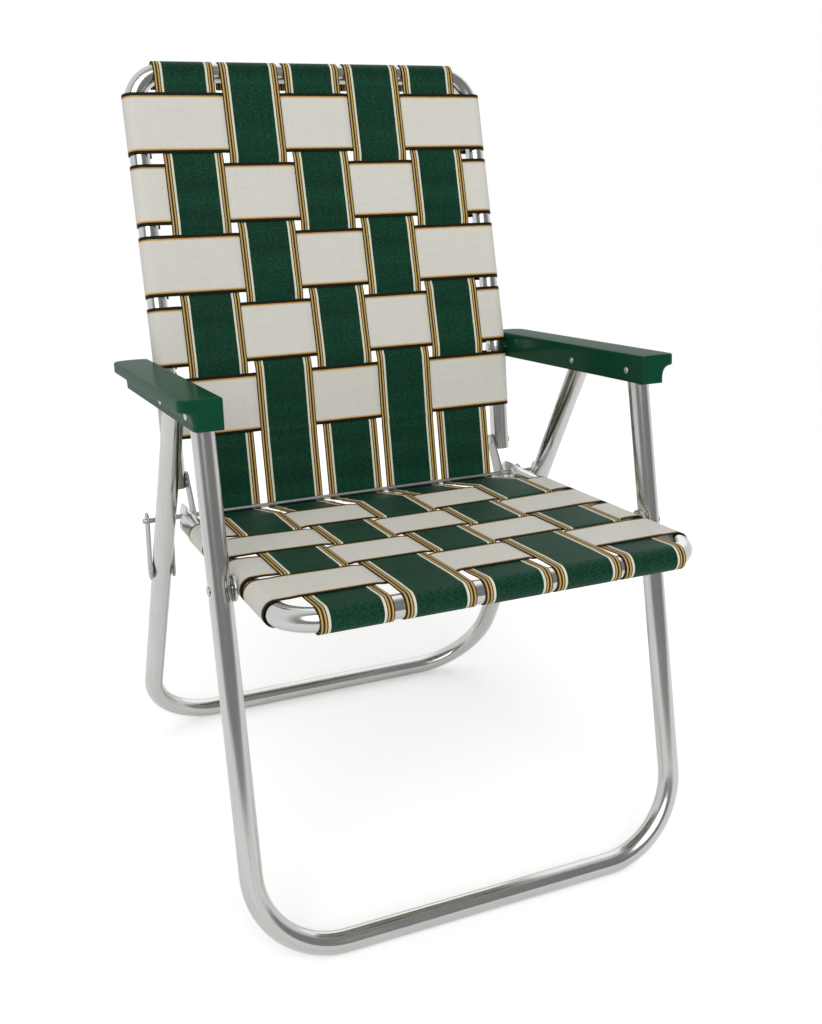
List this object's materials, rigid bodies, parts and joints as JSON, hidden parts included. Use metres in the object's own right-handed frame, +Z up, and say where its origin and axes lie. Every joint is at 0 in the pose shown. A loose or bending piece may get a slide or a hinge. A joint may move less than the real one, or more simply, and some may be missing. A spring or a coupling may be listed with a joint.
{
  "type": "folding webbed lawn chair",
  "caption": "Folding lawn chair: round aluminium tube frames, woven green and cream webbing seat and high back, and moulded armrests that the legs and back fold against.",
  "frame": {"origin": "on the floor, in the middle of the open chair's outline", "axes": "+Z up, +Y towards the back, +X towards the right side seen from the front with the back upright behind the seat; left pieces are on -X"},
  "size_m": [0.5974, 0.6377, 0.9465],
  "materials": {
    "tube": "polished bare aluminium tube",
    "hardware": "plain zinc-bright steel",
    "armrest": "satin-gloss moulded green plastic",
    "green_webbing": "woven plastic webbing, fine ribs, cream, gold and dark edge stripes",
    "cream_webbing": "woven plastic webbing, dark and gold edge stripes"
  },
  "bodies": {
    "front_legs": {"front_leg_frame": "tube", "seat_rivet_left": "hardware", "seat_rivet_right": "hardware"},
    "armrests": {"armrest_left": "armrest", "armrest_right": "armrest", "arm_front_rivet_left": "hardware", "arm_front_rivet_right": "hardware", "arm_middle_rivet_left": "hardware", "arm_middle_rivet_right": "hardware"},
    "rear_legs": {"rear_leg_frame": "tube"},
    "back": {"back_frame": "tube", "hinge_plate_left": "hardware", "hinge_plate_right": "hardware", "hinge_plate_rivet_left": "hardware", "hinge_plate_rivet_right": "hardware", "arm_rear_rivet_left": "hardware", "arm_rear_rivet_right": "hardware", "back_cross_strap_1": "cream_webbing", "back_cross_strap_2": "cream_webbing", "back_cross_strap_3": "cream_webbing", "back_cross_strap_4": "cream_webbing", "back_cross_strap_5": "cream_webbing", "back_long_strap_1": "green_webbing", "back_long_strap_2": "green_webbing", "back_long_strap_3": "green_webbing", "back_long_strap_4": "green_webbing", "back_long_strap_5": "green_webbing"},
    "seat": {"seat_frame": "tube", "hinge_rod": "hardware", "seat_cross_strap_1": "cream_webbing", "seat_cross_strap_2": "cream_webbing", "seat_cross_strap_3": "cream_webbing", "seat_cross_strap_4": "cream_webbing", "seat_long_strap_1": "green_webbing", "seat_long_strap_2": "green_webbing", "seat_long_strap_3": "green_webbing", "seat_long_strap_4": "green_webbing", "seat_long_strap_5": "green_webbing"},
    "links": {"link_plate_inner_left": "hardware", "link_plate_inner_right": "hardware", "link_plate_outer_left": "hardware", "link_plate_outer_right": "hardware", "link_rivet_inner_left": "hardware", "link_rivet_inner_right": "hardware", "link_rivet_outer_left": "hardware", "link_rivet_outer_right": "hardware"}
  },
  "joints": [
    {"name": "fold", "type": "hinge", "parent": "front_legs", "child": "armrests", "pos_m": [0, -0.122, 0.592], "axis": [-1, 0, 0], "range_deg": [0, 77.6]},
    {"name": "rear_leg_fold", "type": "hinge", "parent": "armrests", "child": "rear_legs", "pos_m": [0, 0.005, 0.578], "axis": [1, 0, 0], "range_deg": [0, 41.4]},
    {"name": "back_fold", "type": "hinge", "parent": "armrests", "child": "back", "pos_m": [0, 0.193, 0.56], "axis": [1, 0, 0], "range_deg": [0, 78.1]},
    {"name": "seat_fold", "type": "hinge", "parent": "back", "child": "seat", "pos_m": [0, 0.143, 0.3852], "axis": [-1, 0, 0], "range_deg": [0, 79.5]},
    {"name": "link_fold", "type": "hinge", "parent": "seat", "child": "links", "pos_m": [0, 0.143, 0.3852], "axis": [-1, 0, 0], "range_deg": [0, 88]}
  ],
  "couplings": [
    {"joint": "rear_leg_fold", "follows": "fold", "ratio": 0.53172},
    {"joint": "back_fold", "follows": "fold", "ratio": 1.0046},
    {"joint": "seat_fold", "follows": "fold", "ratio": 1.0231},
    {"joint": "link_fold", "follows": "fold", "ratio": 1.133}
  ]
}
